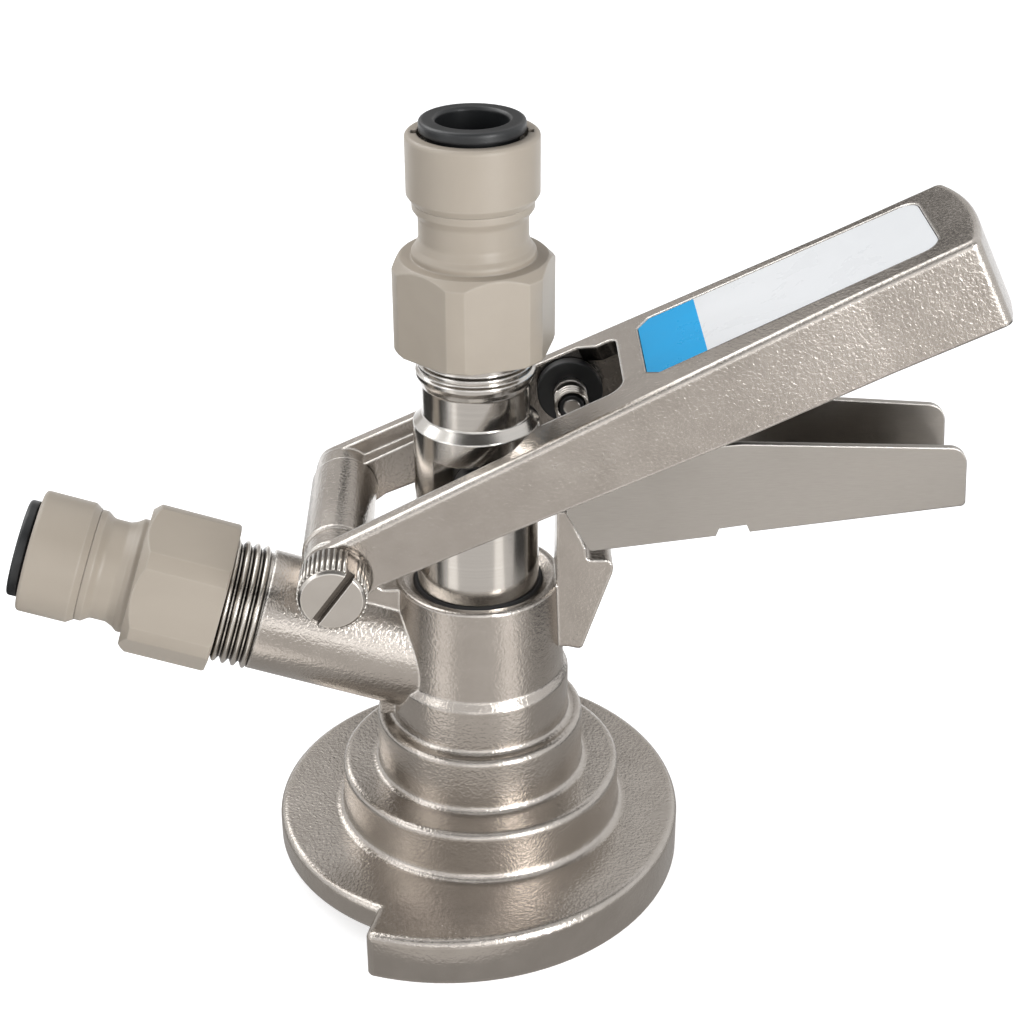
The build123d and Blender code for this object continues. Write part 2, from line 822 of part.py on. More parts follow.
def round_pivot(radius, bore, start, length):
    """A round bush on the trigger's pivot; a negative start and length put it on the far side."""
    with BuildPart() as piece:
        with BuildSketch(side.offset(start)):
            with Locations((pivot_x, pivot_z)):
                Circle(radius)
                if bore:
                    Circle(bore, mode=Mode.SUBTRACT)
        extrude(amount=length)
    return piece.part


def make_trigger_fittings():
    with BuildPart() as pins:
        for way in (1, -1):
            add(round_pivot(trigger_pin_radius, 0, way * pin_tip, way * pin_length))
    finish(pins, "trigger_pins")
    with BuildPart() as bush:
        add(round_pivot(far_bush_radius, trigger_pin_radius, -bush_start, bush_start - bush_end))
    finish(bush, "trigger_bush")
    with BuildPart() as spacer:
        add(round_pivot(ear_radius, trigger_pin_radius, bush_start, bush_end - bush_start))
    finish(spacer, "trigger_spacer")
    with BuildPart() as sleeve:
        for way in (1, -1):
            add(round_pivot(sleeve_radius, trigger_pin_radius, way * pin_tip, way * sleeve_length))
    finish(sleeve, "spring_sleeve")


make_body()
make_body_seals()
make_probe()
make_gas_valve()
make_adaptor("beer", lambda h: up_probe(beer_adaptor_start + h), 16.7, 9.7, 11.4, 0.4)
make_adaptor("gas", lambda h: along_inlet(inlet_adaptor_start + h), 15, 8.7, 10.4, 0.4)
make_handle()
make_handle_fittings()
make_trigger()
make_trigger_fittings()
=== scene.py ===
# %% [markdown]
# # Keg coupler: the looks round a fixed frame
# The real object is a nickel-plated casting that slides on to a keg, with a lever handle, a
# latch trigger and two push-in fittings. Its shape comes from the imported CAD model, so this
# lesson gives the pieces their finishes, adds the fine detail that a solid model leaves out,
# such as a thread, a knurl and a spring, and lights the whole like a small product in a studio.

import json
import math

import bmesh
import bpy
from mathutils import Matrix, Vector


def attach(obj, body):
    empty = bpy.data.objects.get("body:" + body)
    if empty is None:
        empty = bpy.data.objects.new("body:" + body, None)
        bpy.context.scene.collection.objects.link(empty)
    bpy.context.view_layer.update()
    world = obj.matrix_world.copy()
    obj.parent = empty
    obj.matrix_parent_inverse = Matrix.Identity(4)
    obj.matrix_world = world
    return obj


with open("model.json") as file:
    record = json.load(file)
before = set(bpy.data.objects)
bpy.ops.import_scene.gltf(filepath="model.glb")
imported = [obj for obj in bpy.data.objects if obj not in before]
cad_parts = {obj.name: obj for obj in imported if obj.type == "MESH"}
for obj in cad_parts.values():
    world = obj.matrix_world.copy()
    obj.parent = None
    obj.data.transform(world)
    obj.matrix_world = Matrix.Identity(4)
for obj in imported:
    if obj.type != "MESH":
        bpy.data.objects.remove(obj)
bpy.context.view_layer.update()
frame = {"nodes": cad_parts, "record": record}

# %% [markdown]
# ## Places that many pieces share
# The handle is tilted about its hinge, and the gas inlet rises away from the probe. Points could
# be typed in one by one, but with both tilts kept as a small set of axes every later piece and
# mask is placed by one distance along them.

# %% Axes of the handle and of the inlet
MM = 0.001
hinge = Vector((-24.4, 0, 70.1)) * MM
tilt = math.radians(25.97)  # the slope of the handle at rest
along_handle = Vector((math.cos(tilt), 0, math.sin(tilt)))
above_handle = Vector((-math.sin(tilt), 0, math.cos(tilt)))
inlet_tilt = math.radians(17.8)  # the rise of the gas inlet above level
along_inlet = Vector((-math.cos(inlet_tilt), 0, math.sin(inlet_tilt)))
above_inlet = Vector((math.sin(inlet_tilt), 0, math.cos(inlet_tilt)))
inlet_root = Vector((0, 0, 39.2)) * MM
print("handle points along", [round(v, 3) for v in along_handle])

# %% [markdown]
# ## Node groups: effects that several finishes share
# Worn edges, casting grain, machining lines and handling smudges turn up on more than one
# material. Each is a node group that takes a few named settings and gives out only values, so
# that the shader itself stays in the material, where its plain numbers can be read.


# %% A small kit for building node trees
def new_group(name, inputs, outputs):
    """A shader node group with inputs (name, kind, default) and outputs (name, kind)."""
    group = bpy.data.node_groups.new(name, "ShaderNodeTree")
    for label, kind, default in inputs:
        socket = group.interface.new_socket(name=label, in_out="INPUT", socket_type=kind)
        if kind == "NodeSocketFloat":
            socket.default_value = default
    for label, kind in outputs:
        group.interface.new_socket(name=label, in_out="OUTPUT", socket_type=kind)
    return group, group.nodes.new("NodeGroupInput"), group.nodes.new("NodeGroupOutput")


def add_node(tree, kind, links=(), **settings):
    """Adds a node, sets its properties, and links or sets its inputs from (input, value) pairs."""
    node = tree.nodes.new(kind)
    for key, value in settings.items():
        setattr(node, key, value)
    for key, value in links:
        if isinstance(value, bpy.types.NodeSocket):
            tree.links.new(value, node.inputs[key])
        else:
            node.inputs[key].default_value = value
    return node


def blend_values(tree, mask, low, high):
    """Goes from low to high as the mask goes from 0 to 1."""
    node = add_node(
        tree, "ShaderNodeMapRange", [("Value", mask), ("To Min", low), ("To Max", high)]
    )
    return node.outputs["Result"]


def fade(tree, value, start, end):
    """Rises evenly from 0 to 1 while a value goes from start to end."""
    node = add_node(
        tree, "ShaderNodeMapRange", [("Value", value), ("From Min", start), ("From Max", end)]
    )
    return node.outputs["Result"]


def calculate(tree, operation, *values):
    """One step of arithmetic on numbers or sockets."""
    node = add_node(tree, "ShaderNodeMath", list(enumerate(values)), operation=operation)
    return node.outputs[0]


print("node kit ready")

# %% [markdown]
# ### Casting grain
# An investment casting keeps the fine ripple of its wax and slurry, even under nickel plate. It
# could be one noise, but real castings show two scales: a tight ripple about half a millimetre
# across and a slow waviness under it. Two noises, one of them bent by distortion, give both.

# %% Group: casting grain
cast_grain, into, out = new_group(
    "casting_grain",
    [("Vector", "NodeSocketVector", None), ("Ripples per Metre", "NodeSocketFloat", 1700.0)],
    [("Height", "NodeSocketFloat"), ("Patch", "NodeSocketFloat")],
)
ripple = add_node(
    cast_grain, "ShaderNodeTexNoise",
    [("Vector", into.outputs["Vector"]), ("Scale", into.outputs["Ripples per Metre"]),
     ("Detail", 2.0), ("Roughness", 0.5), ("Distortion", 0.4)],
)
waves = add_node(
    cast_grain, "ShaderNodeTexNoise",
    [("Vector", into.outputs["Vector"]), ("Scale", 160.0), ("Detail", 2.0), ("Roughness", 0.5)],
)
share_of_waves = 0.35
height = calculate(
    cast_grain, "MULTIPLY_ADD", waves.outputs["Fac"], share_of_waves, ripple.outputs["Fac"]
)
cast_grain.links.new(height, out.inputs["Height"])
cast_grain.links.new(waves.outputs["Fac"], out.inputs["Patch"])
print("group", cast_grain.name)

# %% [markdown]
# ### Worn edges
# Plating and polish are brightest where hands and tools rub. The Pointiness of Geometry could mark
# those edges, but it needs a fine, even mesh. The Bevel node looks at how the surface turns within
# a small radius, so comparing its normal with the true one marks every edge of any mesh. The same
# normal is passed on, so that the shader can treat every edge as slightly rounded, as all cast and
# moulded edges are.

# %% Group: worn edges
edge_wear, into, out = new_group(
    "worn_edges",
    [("Vector", "NodeSocketVector", None), ("Radius", "NodeSocketFloat", 0.0006),
     ("Amount", "NodeSocketFloat", 2.5)],
    [("Mask", "NodeSocketFloat"), ("Normal", "NodeSocketVector")],
)
rounded = add_node(edge_wear, "ShaderNodeBevel", [("Radius", into.outputs["Radius"])], samples=6)
plain = add_node(edge_wear, "ShaderNodeNewGeometry")
turned_away = add_node(
    edge_wear, "ShaderNodeVectorMath",
    [(0, rounded.outputs["Normal"]), (1, plain.outputs["Normal"])], operation="DISTANCE",
)
patches = add_node(
    edge_wear, "ShaderNodeTexNoise",
    [("Vector", into.outputs["Vector"]), ("Scale", 420.0), ("Detail", 4.0)],
)
broken = calculate(edge_wear, "MULTIPLY", turned_away.outputs["Value"], patches.outputs["Fac"])
strong = add_node(
    edge_wear, "ShaderNodeMath",
    [(0, broken), (1, into.outputs["Amount"])], operation="MULTIPLY", use_clamp=True,
)
edge_wear.links.new(strong.outputs[0], out.inputs["Mask"])
edge_wear.links.new(rounded.outputs["Normal"], out.inputs["Normal"])
print("group", edge_wear.name)

# %% [markdown]
# ### Tool lines
# A lathe leaves rings round a probe, and a belt leaves lines along a sheet. A Wave texture would
# space them evenly, which no tool does, so both are one noise squeezed across the lines: the
# Squeeze vector says how fast the pattern changes along each axis.

# %% Group: tool lines
tool_lines, into, out = new_group(
    "tool_lines",
    [("Vector", "NodeSocketVector", None), ("Squeeze", "NodeSocketVector", None)],
    [("Height", "NodeSocketFloat"), ("Streak", "NodeSocketFloat")],
)
squeezed = add_node(
    tool_lines, "ShaderNodeVectorMath",
    [(0, into.outputs["Vector"]), (1, into.outputs["Squeeze"])], operation="MULTIPLY",
)
lines = add_node(
    tool_lines, "ShaderNodeTexNoise",
    [("Vector", squeezed.outputs[0]), ("Scale", 1.0), ("Detail", 4.0), ("Roughness", 0.65)],
)
streaks = add_node(
    tool_lines, "ShaderNodeTexNoise",
    [("Vector", squeezed.outputs[0]), ("Scale", 0.18), ("Detail", 2.0)],
)
tool_lines.links.new(lines.outputs["Fac"], out.inputs["Height"])
tool_lines.links.new(streaks.outputs["Fac"], out.inputs["Streak"])
print("group", tool_lines.name)

# %% [markdown]
# ### Handling smudges
# Nothing that is handled is evenly glossy. Smudges could be painted, but nobody could say where
# each one lies, so a slow noise, sharpened a little, dulls some patches.

# %% Group: handling smudges
smudges, into, out = new_group(
    "handling_smudges",
    [("Vector", "NodeSocketVector", None), ("Smudges per Metre", "NodeSocketFloat", 45.0)],
    [("Mask", "NodeSocketFloat")],
)
cloud = add_node(
    smudges, "ShaderNodeTexNoise",
    [("Vector", into.outputs["Vector"]), ("Scale", into.outputs["Smudges per Metre"]),
     ("Detail", 5.0), ("Roughness", 0.6), ("Distortion", 0.5)],
)
smudges.links.new(fade(smudges, cloud.outputs["Fac"], 0.35, 0.68), out.inputs["Mask"])
print("group", smudges.name)

# %% [markdown]
# ## Finishes
# Every material starts from the same few lines: an empty tree, object coordinates and the
# Principled shader. What makes it nickel, acetal or rubber is which groups feed it. A dozen trees
# could be drawn in the editor, but as helpers their common lines are written once.


# %% Start a finish, and place a group in it
def start_finish(name, metallic, **plain):
    """A material with a Principled shader whose plain values are set on its own sockets."""
    finish = bpy.data.materials.new(name)
    finish.use_nodes = True
    tree = finish.node_tree
    tree.nodes.clear()
    coords = tree.nodes.new("ShaderNodeTexCoord").outputs["Object"]
    shader = tree.nodes.new("ShaderNodeBsdfPrincipled")
    surface = tree.nodes.new("ShaderNodeOutputMaterial")
    tree.links.new(shader.outputs["BSDF"], surface.inputs["Surface"])
    shader.inputs["Metallic"].default_value = metallic
    for key, value in plain.items():
        shader.inputs[key.replace("_", " ")].default_value = value
    return finish, tree, coords, shader


def use_group(tree, group, coords, **values):
    """Places a node group, with its coordinates and settings."""
    node = tree.nodes.new("ShaderNodeGroup")
    node.node_tree = group
    tree.links.new(coords, node.inputs["Vector"])
    for key, value in values.items():
        node.inputs[key.replace("_", " ")].default_value = value
    return node


print("finish kit ready")


# %% Mix, colour and emboss
def mix_colours(tree, mask, under, over):
    """Goes from one colour to another by a mask; a colour is three numbers or a socket."""
    ready = [
        colour if isinstance(colour, bpy.types.NodeSocket) else (*colour, 1)
        for colour in (under, over)
    ]
    mix = add_node(
        tree, "ShaderNodeMix", [("Factor", mask), ("A", ready[0]), ("B", ready[1])],
        data_type="RGBA",
    )
    return mix.outputs["Result"]


def colour_and_dull(tree, shader, colour, roughness):
    """Feeds a colour and a roughness into the shader."""
    tree.links.new(colour, shader.inputs["Base Color"])
    tree.links.new(roughness, shader.inputs["Roughness"])


def bump(tree, height, strength, depth, shader, after=None):
    """Feeds a height into the shader's normal, on top of an earlier normal if there is one."""
    node = add_node(
        tree, "ShaderNodeBump", [("Height", height), ("Strength", strength), ("Distance", depth)]
    )
    if after is not None:
        tree.links.new(after, node.inputs["Normal"])
    tree.links.new(node.outputs["Normal"], shader.inputs["Normal"])


print("mixing and embossing ready")

# %% [markdown]
# ### Nickel-plated casting
# The body and the handle share it: a warm, slightly dark metal, satin rather than mirror. The
# casting grain drives the bump, smudges drive the roughness, and worn edges go lighter. The finish
# could be copied for the handle and changed there, but a function that takes the strength of the
# grain and a mask of painted shade makes both from the same few lines.


# %% Finish: plated casting
def plated_casting(name, grain_strength, painted_shade_mask=None):
    """Nickel over a casting; an optional mask, given (tree, coords), paints near-black shade into
    it.
    """
    finish, tree, coords, shader = start_finish(name, 1.0)
    grain = use_group(tree, cast_grain, coords, Ripples_per_Metre=1700.0)
    worn = use_group(tree, edge_wear, coords, Radius=0.0007, Amount=2.6)
    smudge = use_group(tree, smudges, coords, Smudges_per_Metre=38.0)
    colour = mix_colours(tree, grain.outputs["Patch"], (0.38, 0.347, 0.313), (0.49, 0.453, 0.415))
    colour = mix_colours(tree, worn.outputs["Mask"], colour, (0.80, 0.77, 0.73))
    # Painted shade: where the mask is 1 the colour goes near black, standing in for shadow.
    if painted_shade_mask:
        shade_amount = painted_shade_mask(tree, coords)
        colour = mix_colours(tree, shade_amount, colour, (0.055, 0.05, 0.045))
    dull = blend_values(tree, smudge.outputs["Mask"], 0.19, 0.28)
    colour_and_dull(tree, shader, colour, dull)
    bump(tree, grain.outputs["Height"], grain_strength, 0.00010, shader, worn.outputs["Normal"])
    print("finish", name)
    return finish


cast_nickel = plated_casting("cast_nickel", 0.85)

# %% [markdown]
# ### Inside of the handle
# Between the handle's side plates, shade is painted into the casting's colour as near black.
# The handle is one mesh, so a mask says which places lie inside: nearer to the middle than the
# plates' inner faces, below the top plate and short of the end wall. Faces with a material of
# their own could do it too, but a mask leaves the CAD mesh alone. Distances along the handle's
# own axes are dot products, and the plates' taper is one multiplication.

# %% Measure along the handle
inner_face_at_hinge = 17.5 * MM
plate_taper = 0.0616  # how fast the plates draw together toward the grip
inner_top = 4.9 * MM
inner_end = 115.7 * MM
dark_begins, dark_full = 2 * MM, 42 * MM
soft_edge = 0.2 * MM
plate_edge = 0.05 * MM


def distance_along(tree, coords, direction):
    """How far a point lies from the hinge along a direction."""
    reach = add_node(
        tree, "ShaderNodeVectorMath", [(0, coords), (1, direction)], operation="DOT_PRODUCT"
    )
    return calculate(tree, "SUBTRACT", reach.outputs["Value"], hinge.dot(direction))


print("inside ends", round(inner_end / MM, 1), "mm from the hinge")


# %% Finish: handle casting
# A mask of painted shade: 1 where the handle's colour is darkened as shade between its plates.
def shade_inside_handle(tree, coords):
    """1 between the handle's side plates and below its top, fading out toward the hinge."""
    along = distance_along(tree, coords, along_handle)
    height = distance_along(tree, coords, above_handle)
    parts = add_node(tree, "ShaderNodeSeparateXYZ", [("Vector", coords)])
    off_middle = calculate(tree, "ABSOLUTE", parts.outputs["Y"])
    to_wall = calculate(tree, "MULTIPLY_ADD", along, plate_taper, off_middle)
    masks = (
        fade(tree, to_wall, inner_face_at_hinge + plate_edge, inner_face_at_hinge - plate_edge),
        fade(tree, height, inner_top + soft_edge, inner_top - soft_edge),
        fade(tree, along, dark_begins, dark_full),
        fade(tree, along, inner_end + soft_edge, inner_end - soft_edge),
    )
    inside = masks[0]
    for mask in masks[1:]:
        inside = calculate(tree, "MULTIPLY", inside, mask)
    return inside


cast_handle = plated_casting("cast_nickel_handle", 0.75, shade_inside_handle)

# %% [markdown]
# ### Turned stainless steel
# The probe is polished on the lathe: nearly a mirror, with rings so fine that they only stretch
# the reflections. The rings lie across Z, so the noise is squeezed hard along Z alone. An image of
# brushed metal could stand in, but would show a seam where it meets itself round the bar.

# %% Finish: turned steel
turned_steel, tree, coords, shader = start_finish("turned_steel", 1.0)
rings = use_group(tree, tool_lines, coords, Squeeze=(12.0, 12.0, 9000.0))
worn = use_group(tree, edge_wear, coords, Radius=0.0004, Amount=2.0)
smudge = use_group(tree, smudges, coords, Smudges_per_Metre=60.0)
colour = mix_colours(tree, rings.outputs["Streak"], (0.50, 0.476, 0.445), (0.60, 0.576, 0.545))
colour = mix_colours(tree, worn.outputs["Mask"], colour, (0.9, 0.88, 0.85))
dull = blend_values(tree, smudge.outputs["Mask"], 0.13, 0.2)
colour_and_dull(tree, shader, colour, dull)
bump(tree, rings.outputs["Height"], 0.15, 0.00001, shader, worn.outputs["Normal"])
print("finish", turned_steel.name)

# %% [markdown]
# ### Brushed sheet
# The trigger is folded from stainless sheet whose grain runs along its length, close to X. The
# same group makes it as made the rings, squeezed across the sheet instead, and Anisotropic
# stretches the highlights the way fine lines do.

# %% Finish: brushed sheet
sheet_steel, tree, coords, shader = start_finish("sheet_steel", 1.0, Anisotropic=0.5)
lines = use_group(tree, tool_lines, coords, Squeeze=(160.0, 9000.0, 9000.0))
worn = use_group(tree, edge_wear, coords, Radius=0.0004, Amount=2.0)
smudge = use_group(tree, smudges, coords, Smudges_per_Metre=50.0)
colour = mix_colours(tree, lines.outputs["Height"], (0.34, 0.318, 0.292), (0.44, 0.415, 0.387))
colour = mix_colours(tree, worn.outputs["Mask"], colour, (0.75, 0.73, 0.7))
dull = blend_values(tree, smudge.outputs["Mask"], 0.3, 0.42)
colour_and_dull(tree, shader, colour, dull)
bump(tree, lines.outputs["Height"], 0.3, 0.00002, shader, worn.outputs["Normal"])
print("finish", sheet_steel.name)

# %% [markdown]
# ### Plated turned parts
# The ribs of the hinge screw and the wire of the spring are smoother than the casting round them.
# They could wear the casting's finish, but would then look rough at their small size, so they
# have a brighter one with a grain that hardly shows.

# %% Finish: plated turned parts
screw_steel, tree, coords, shader = start_finish("screw_steel", 1.0)
grain = use_group(tree, cast_grain, coords, Ripples_per_Metre=1900.0)
worn = use_group(tree, edge_wear, coords, Radius=0.0003, Amount=2.4)
colour = mix_colours(tree, grain.outputs["Patch"], (0.50, 0.468, 0.43), (0.60, 0.567, 0.525))
colour = mix_colours(tree, worn.outputs["Mask"], colour, (0.88, 0.85, 0.81))
dull = blend_values(tree, grain.outputs["Patch"], 0.2, 0.3)
colour_and_dull(tree, shader, colour, dull)
bump(tree, grain.outputs["Height"], 0.15, 0.00004, shader, worn.outputs["Normal"])
print("finish", screw_steel.name)

# %% [markdown]
# ### Painted shade in roots and slots
# Shade is painted into the roots of a thread, between a knurl's ribs and in a screw's slot,
# because shadows alone leave such narrow places too bright in polished metal. The thread's
# finish measures the distance from its axis, which a cross product gives, and darkens what lies
# deep. The screw's darkens what lies behind the face of its head.


# %% Turned steel with dark depths
def shaded_steel(name, depth_mask, shade_colour):
    """Bright turned steel with shade painted in, dark where depth_mask(tree, coords) is 1."""
    finish, tree, coords, shader = start_finish(name, 1.0)
    grain = use_group(tree, cast_grain, coords, Ripples_per_Metre=1900.0)
    worn = use_group(tree, edge_wear, coords, Radius=0.0003, Amount=2.0)
    colour = mix_colours(tree, grain.outputs["Patch"], (0.50, 0.468, 0.43), (0.60, 0.567, 0.525))
    colour = mix_colours(tree, worn.outputs["Mask"], colour, (0.80, 0.77, 0.73))
    # Painted shade: the deep places take a dark colour that stands in for shadow.
    colour = mix_colours(tree, depth_mask(tree, coords), colour, shade_colour)
    dull = blend_values(tree, grain.outputs["Patch"], 0.18, 0.26)
    colour_and_dull(tree, shader, colour, dull)
    bump(tree, grain.outputs["Height"], 0.12, 0.00003, shader, worn.outputs["Normal"])
    print("finish", name)
    return finish


# %% Finishes: cut thread and screw head
dark_radius, bright_radius = 10.75 * MM, 11.30 * MM
screw_face = min(corner.co.y for corner in frame["nodes"]["hinge_screw"].data.vertices)
bright_behind_face, dark_behind_face = 0.35 * MM, 0.6 * MM


def thread_depth(tree, coords):
    """1 at the root of the inlet's thread, 0 at its crest."""
    from_root = add_node(
        tree, "ShaderNodeVectorMath", [(0, coords), (1, inlet_root)], operation="SUBTRACT"
    )
    turned = add_node(
        tree, "ShaderNodeVectorMath", [(0, from_root.outputs[0]), (1, along_inlet)],
        operation="CROSS_PRODUCT",
    )
    radius = add_node(tree, "ShaderNodeVectorMath", [(0, turned.outputs[0])], operation="LENGTH")
    return fade(tree, radius.outputs["Value"], bright_radius, dark_radius)


def behind_screw_face(tree, coords):
    """1 from a little behind the face of the hinge screw."""
    parts = add_node(tree, "ShaderNodeSeparateXYZ", [("Vector", coords)])
    return fade(
        tree, parts.outputs["Y"], screw_face + bright_behind_face, screw_face + dark_behind_face
    )


print("screw face at", round(screw_face / MM, 2), "mm")
# The thread gets painted shade in its roots, and the screw behind the face of its head.
cut_thread = shaded_steel("cut_thread", thread_depth, (0.06, 0.054, 0.048))
screw_head = shaded_steel("screw_head", behind_screw_face, (0.15, 0.132, 0.115))

# %% [markdown]
# ### Polished ball
# The check valve's ball is a bearing ball. It is hidden in the probe, so a flat grey would do, but
# the part may be opened up elsewhere, and a ball with no smudge and no grain looks like a bubble.

# %% Finish: polished ball
ball_steel, tree, coords, shader = start_finish("ball_steel", 1.0)
smudge = use_group(tree, smudges, coords, Smudges_per_Metre=150.0)
colour = mix_colours(tree, smudge.outputs["Mask"], (0.68, 0.68, 0.67), (0.75, 0.75, 0.74))
dull = blend_values(tree, smudge.outputs["Mask"], 0.05, 0.12)
colour_and_dull(tree, shader, colour, dull)
grain = use_group(tree, cast_grain, coords, Ripples_per_Metre=2400.0)
bump(tree, grain.outputs["Height"], 0.05, 0.00002, shader)
print("finish", ball_steel.name)

# %% [markdown]
# ### Moulded acetal, grey and black
# The push-in fittings are warm-grey acetal from a spark-eroded mould: satin, with a texture too
# fine to see except in the highlight. The collets, rollers and bushes are the same in black, so
# one function makes both, where two copies of the tree could drift apart.


# %% Finish: moulded plastics
def moulded_plastic(name, dark, light, edge, gloss_low, gloss_high):
    """Acetal with mould texture, slow colour drift and paler rubbed edges."""
    finish, tree, coords, shader = start_finish(name, 0.0, IOR=1.48)
    texture = use_group(tree, cast_grain, coords, Ripples_per_Metre=2600.0)
    worn = use_group(tree, edge_wear, coords, Radius=0.0005, Amount=1.5)
    smudge = use_group(tree, smudges, coords, Smudges_per_Metre=40.0)
    colour = mix_colours(tree, smudge.outputs["Mask"], dark, light)
    colour = mix_colours(tree, worn.outputs["Mask"], colour, edge)
    dull = blend_values(tree, smudge.outputs["Mask"], gloss_low, gloss_high)
    colour_and_dull(tree, shader, colour, dull)
    bump(tree, texture.outputs["Height"], 0.12, 0.00003, shader, worn.outputs["Normal"])
    print("finish", name)
    return finish


fitting_plastic = moulded_plastic(
    "fitting_plastic", (0.375, 0.325, 0.266), (0.405, 0.352, 0.29), (0.56, 0.51, 0.44), 0.36, 0.46
)
black_plastic = moulded_plastic(
    "black_plastic", (0.010, 0.011, 0.012), (0.016, 0.017, 0.018), (0.05, 0.05, 0.052), 0.3, 0.42
)

# %% [markdown]
# ### Seal rubber
# Food-grade rubber is duller than acetal, and its bloom shows as faint pale clouds. A plain black
# would do for the narrow line that shows, but the clouds keep it from looking like a hole.

# %% Finish: seal rubber
seal_rubber, tree, coords, shader = start_finish("seal_rubber", 0.0)
smudge = use_group(tree, smudges, coords, Smudges_per_Metre=120.0)
texture = use_group(tree, cast_grain, coords, Ripples_per_Metre=2200.0)
colour = mix_colours(tree, smudge.outputs["Mask"], (0.012, 0.012, 0.013), (0.026, 0.026, 0.027))
dull = blend_values(tree, smudge.outputs["Mask"], 0.5, 0.68)
colour_and_dull(tree, shader, colour, dull)
bump(tree, texture.outputs["Height"], 0.2, 0.00005, shader)
print("finish", seal_rubber.name)

# %% [markdown]
# ### Label film
# The label is a glossy white film with a blue block at the end nearest the hinge. An image could
# be laid on it, but two flat colours need only the place where they meet. That is a distance
# along the handle, measured as before, and a comparison cuts it off clean.

# %% Finish: label film
label_film, tree, coords, shader = start_finish("label_film", 0.0, Specular_IOR_Level=0.2)
blue_ends = 72.5 * MM  # from the hinge, along the handle
from_hinge = distance_along(tree, coords, along_handle)
past_blue = calculate(tree, "GREATER_THAN", from_hinge, blue_ends)
smudge = use_group(tree, smudges, coords, Smudges_per_Metre=90.0)
texture = use_group(tree, cast_grain, coords, Ripples_per_Metre=1500.0)
whites = mix_colours(tree, smudge.outputs["Mask"], (0.94, 0.95, 0.96), (0.96, 0.97, 0.98))
blues = mix_colours(tree, smudge.outputs["Mask"], (0.0, 0.44, 0.90), (0.0, 0.46, 0.93))
dull = blend_values(tree, smudge.outputs["Mask"], 0.25, 0.34)
colour_and_dull(tree, shader, mix_colours(tree, past_blue, blues, whites), dull)
bump(tree, texture.outputs["Height"], 0.05, 0.00001, shader)
print("finish", label_film.name)

# %% [markdown]
# ## Dress the CAD nodes
# A node whose shape is already right keeps its mesh and only gets a better material. The record
# names a material slot for each node, so one table from slot to finish dresses them all, and a
# second, shorter table names the two nodes that have painted shade of their own.

# %% Put each finish on its nodes
finishes = {
    "cast_nickel": cast_nickel, "turned_steel": turned_steel, "sheet_steel": sheet_steel,
    "screw_steel": screw_steel, "ball_steel": ball_steel, "fitting_plastic": fitting_plastic,
    "black_plastic": black_plastic, "seal_rubber": seal_rubber, "label_film": label_film,
}
own_finish = {"handle": cast_handle, "hinge_screw": screw_head}
for part in frame["record"]["subparts"]:
    node = frame["nodes"][part["node"]]
    for holder in node.material_slots:
        holder.material = own_finish.get(part["node"], finishes[part["material_slot"]])

# %% [markdown]
# ## Threads, knurls and spring
# These are too fine for the solid model. A thread is a small ridge wound round a core. A Screw
# modifier could wind it, but turns about one of an object's own axes, and the inlet's is none of
# those. The spin operator takes any axis, turns an outline about it and moves it on by a little
# at every step. The same helper coils the wire of the trigger's spring.


# %% Make a piece out of a bmesh
def add_piece(name, maker, finish, body):
    """Turns a finished bmesh into a piece that rides on a body and wears a finish."""
    bmesh.ops.remove_doubles(maker, verts=maker.verts, dist=0.0005 * MM)
    bmesh.ops.recalc_face_normals(maker, faces=maker.faces)
    for face in maker.faces:
        face.smooth = True
    mesh = bpy.data.meshes.new(name)
    maker.to_mesh(mesh)
    maker.free()
    mesh.materials.append(finish)
    piece = bpy.data.objects.new(name, mesh)
    bpy.context.scene.collection.objects.link(piece)
    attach(piece, body)
    print("piece", name, len(mesh.polygons), "faces")


# %% Wind an outline along a helix
def wind(maker, outline, foot, axis, side, pitch, turns, steps=48):
    """Winds an outline of (away from the axis, along it) points in metres, onward from foot."""
    corners = [maker.verts.new(foot + side * away + axis * along) for away, along in outline]
    face = maker.faces.new(corners)
    bmesh.ops.spin(
        maker, geom=[face, *face.edges, *corners], cent=foot, axis=axis,
        dvec=axis * (pitch / steps), angle=2 * math.pi * turns, steps=int(steps * turns),
        use_duplicate=False,
    )
    bmesh.ops.holes_fill(maker, edges=maker.edges[:], sides=len(outline))


print("winding ready")

# %% [markdown]
# ### Thread of the gas inlet
# A parallel pipe thread, fourteen turns to the inch. A row of rings would pass for it from afar,
# but the slant of a true helix shows here. Its flanks stand at about 55 degrees to each other and
# its crests are rounded, which catches the light as a row of bright lines. It starts under the
# inlet, partly sunk in the shoulder, and ends inside the adaptor, so neither blunt end stands out.

# %% Inlet thread
thread_pitch = 1.814 * MM
thread_start = 42.3 * MM
thread_turns = 4.5
thread_outline = [
    (10.30, -0.86), (10.45, -0.78), (11.25, -0.33), (11.42, -0.14), (11.42, 0.14), (11.25, 0.33),
    (10.45, 0.78), (10.30, 0.86),
]
maker = bmesh.new()
wind(
    maker, [(away * MM, along * MM) for away, along in thread_outline],
    inlet_root + along_inlet * thread_start, along_inlet, -above_inlet, thread_pitch, thread_turns,
)
add_piece("inlet_thread", maker, cut_thread, "coupler")

# %% [markdown]
# ### Knurl of the hinge screw
# The screw's head is knurled straight, so that fingers can start it before a coin tightens it in
# the slot. A bump could draw the ribs, but they stand out against the light at the head's rim, so
# each is a long rounded bar. They stand all round the head except where the slot runs out.

